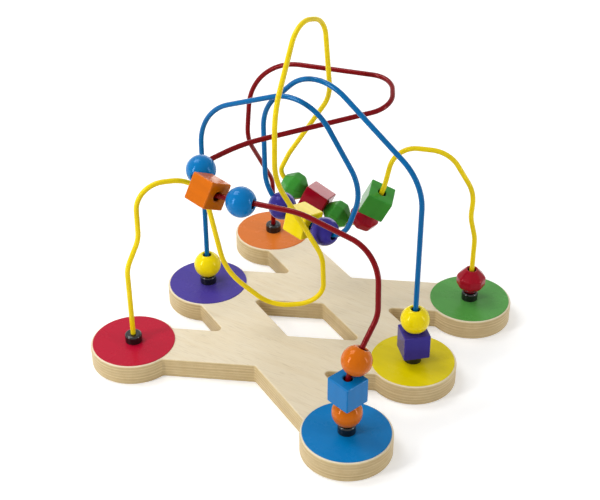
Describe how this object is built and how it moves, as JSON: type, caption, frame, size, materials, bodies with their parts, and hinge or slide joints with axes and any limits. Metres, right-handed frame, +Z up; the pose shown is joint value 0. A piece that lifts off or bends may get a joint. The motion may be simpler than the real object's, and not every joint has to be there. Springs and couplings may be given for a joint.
{
  "type": "bead maze",
  "caption": "Wooden bead maze: painted beads and cubes slide along bent, coated wires that stand on a crossed plywood board with coloured round pads.",
  "frame": {"origin": "middle of the board's outline, on its underside", "axes": "+Z up, +X from the red, purple and orange pads to the blue, yellow and green ones, +Y from the red and blue pads to the orange and green ones"},
  "size_m": [0.296, 0.296, 0.2956],
  "materials": {
    "birch_plywood": "satin lacquer",
    "collar_black": "glossy",
    "screw_steel": "zinc plated",
    "disc_red": "semi-matt",
    "disc_purple": "semi-matt",
    "disc_orange": "semi-matt",
    "disc_blue": "semi-matt",
    "disc_yellow": "semi-matt",
    "disc_green": "semi-matt",
    "wire_yellow": "glossy coating",
    "wire_blue": "glossy coating",
    "wire_red": "glossy coating",
    "bead_red": "glossy paint",
    "bead_purple": "glossy paint",
    "bead_orange": "glossy paint",
    "bead_blue": "glossy paint",
    "bead_yellow": "glossy paint",
    "bead_green": "glossy paint"
  },
  "bodies": {
    "base": {"base_board": "birch_plywood", "disc_red": "disc_red", "disc_purple": "disc_purple", "disc_orange": "disc_orange", "disc_blue": "disc_blue", "disc_yellow": "disc_yellow", "disc_green": "disc_green", "collar_red_pad": "collar_black", "collar_purple_pad": "collar_black", "collar_orange_pad": "collar_black", "collar_blue_pad": "collar_black", "collar_yellow_pad": "collar_black", "collar_green_pad": "collar_black", "base_screws": "screw_steel", "wire_yellow": "wire_yellow", "wire_blue": "wire_blue", "wire_red": "wire_red"},
    "yellow_wire_green_bead_high": {"yellow_wire_green_bead_high": "bead_green"},
    "yellow_wire_red_cube": {"yellow_wire_red_cube": "bead_red"},
    "yellow_wire_green_bead_low": {"yellow_wire_green_bead_low": "bead_green"},
    "yellow_wire_red_bead_inner": {"yellow_wire_red_bead_inner": "bead_red"},
    "yellow_wire_green_cube": {"yellow_wire_green_cube": "bead_green"},
    "yellow_wire_red_bead_end": {"yellow_wire_red_bead_end": "bead_red"},
    "blue_wire_yellow_bead_start": {"blue_wire_yellow_bead_start": "bead_yellow"},
    "blue_wire_purple_bead_right": {"blue_wire_purple_bead_right": "bead_purple"},
    "blue_wire_yellow_cube": {"blue_wire_yellow_cube": "bead_yellow"},
    "blue_wire_purple_bead_left": {"blue_wire_purple_bead_left": "bead_purple"},
    "blue_wire_purple_cube": {"blue_wire_purple_cube": "bead_purple"},
    "blue_wire_yellow_bead_end": {"blue_wire_yellow_bead_end": "bead_yellow"},
    "red_wire_blue_bead_back": {"red_wire_blue_bead_back": "bead_blue"},
    "red_wire_orange_cube": {"red_wire_orange_cube": "bead_orange"},
    "red_wire_blue_bead_front": {"red_wire_blue_bead_front": "bead_blue"},
    "red_wire_orange_bead_top": {"red_wire_orange_bead_top": "bead_orange"},
    "red_wire_blue_cube": {"red_wire_blue_cube": "bead_blue"},
    "red_wire_orange_bead_end": {"red_wire_orange_bead_end": "bead_orange"}
  },
  "joints": [
    {"name": "blue_wire_yellow_bead_start_slide", "type": "slide", "parent": "base", "child": "blue_wire_yellow_bead_start", "axis": [0, 0, 1], "range_m": [0, 0.114]},
    {"name": "blue_wire_purple_cube_slide", "type": "slide", "parent": "base", "child": "blue_wire_purple_cube", "axis": [0, 0, 1], "range_m": [0, 0.042]},
    {"name": "blue_wire_yellow_bead_end_slide", "type": "slide", "parent": "blue_wire_purple_cube", "child": "blue_wire_yellow_bead_end", "axis": [0, 0, 1], "range_m": [0, 0.052]},
    {"name": "yellow_wire_red_bead_end_slide", "type": "slide", "parent": "base", "child": "yellow_wire_red_bead_end", "axis": [0, 0, 1], "range_m": [0, 0.034]},
    {"name": "red_wire_orange_bead_top_slide", "type": "slide", "parent": "base", "child": "red_wire_orange_bead_top", "axis": [0.186, 0.4835, 0.8554], "range_m": [0, 0.022]},
    {"name": "red_wire_blue_bead_front_slide", "type": "slide", "parent": "base", "child": "red_wire_blue_bead_front", "axis": [0.9806, 0.1961, 0], "range_m": [0, 0.032]},
    {"name": "blue_wire_purple_bead_right_ride", "type": "hinge", "parent": "base", "child": "blue_wire_purple_bead_right", "pos_m": [0.01732, 0.00651, 0.14311], "axis": [0.1864, 0.9782, -0.0915], "range_deg": [-50, 0]},
    {"name": "blue_wire_purple_bead_left_ride", "type": "hinge", "parent": "base", "child": "blue_wire_purple_bead_left", "pos_m": [-0.02654, 0.01194, 0.14655], "axis": [0.1956, 0.9804, 0.022], "range_deg": [0, 50]},
    {"name": "red_wire_orange_cube_ride", "type": "hinge", "parent": "base", "child": "red_wire_orange_cube", "pos_m": [-0.03396, -0.05778, 0.18605], "axis": [0.0382, -0.1909, 0.9809], "range_deg": [-8, 0]},
    {"name": "red_wire_blue_bead_back_ride", "type": "hinge", "parent": "red_wire_orange_cube", "child": "red_wire_blue_bead_back", "pos_m": [-0.03396, -0.05778, 0.18605], "axis": [0.0382, -0.1909, 0.9809], "range_deg": [-11, 0]},
    {"name": "yellow_wire_green_cube_ride", "type": "hinge", "parent": "base", "child": "yellow_wire_green_cube", "pos_m": [-0.00056, 0.09183, 0.14129], "axis": [-0.5359, -0.7956, 0.2826], "range_deg": [0, 15]},
    {"name": "yellow_wire_green_bead_high_spin", "type": "hinge", "parent": "base", "child": "yellow_wire_green_bead_high", "pos_m": [-0.05136, 0.06134, 0.11222], "axis": [0.9246, 0.0702, -0.3745], "continuous": true},
    {"name": "yellow_wire_red_cube_spin", "type": "hinge", "parent": "base", "child": "yellow_wire_red_cube", "pos_m": [-0.02936, 0.06301, 0.1033], "axis": [0.9246, 0.0702, -0.3745], "continuous": true},
    {"name": "yellow_wire_green_bead_low_spin", "type": "hinge", "parent": "base", "child": "yellow_wire_green_bead_low", "pos_m": [-0.00736, 0.06468, 0.09439], "axis": [0.9246, 0.0702, -0.3745], "continuous": true},
    {"name": "yellow_wire_red_bead_inner_spin", "type": "hinge", "parent": "base", "child": "yellow_wire_red_bead_inner", "pos_m": [0.02176, 0.06365, 0.10238], "axis": [0.5957, -0.1191, 0.7943], "continuous": true},
    {"name": "blue_wire_yellow_cube_spin", "type": "hinge", "parent": "base", "child": "blue_wire_yellow_cube", "pos_m": [-0.0089, 0.00908, 0.11598], "axis": [-0.9782, 0.1935, 0.0752], "continuous": true},
    {"name": "red_wire_blue_cube_spin", "type": "hinge", "parent": "base", "child": "red_wire_blue_cube", "pos_m": [0.11, -0.11, 0.06215], "axis": [0, 0, -1], "continuous": true},
    {"name": "red_wire_orange_bead_end_spin", "type": "hinge", "parent": "base", "child": "red_wire_orange_bead_end", "pos_m": [0.11, -0.11, 0.03913], "axis": [0, 0, -1], "continuous": true}
  ]
}
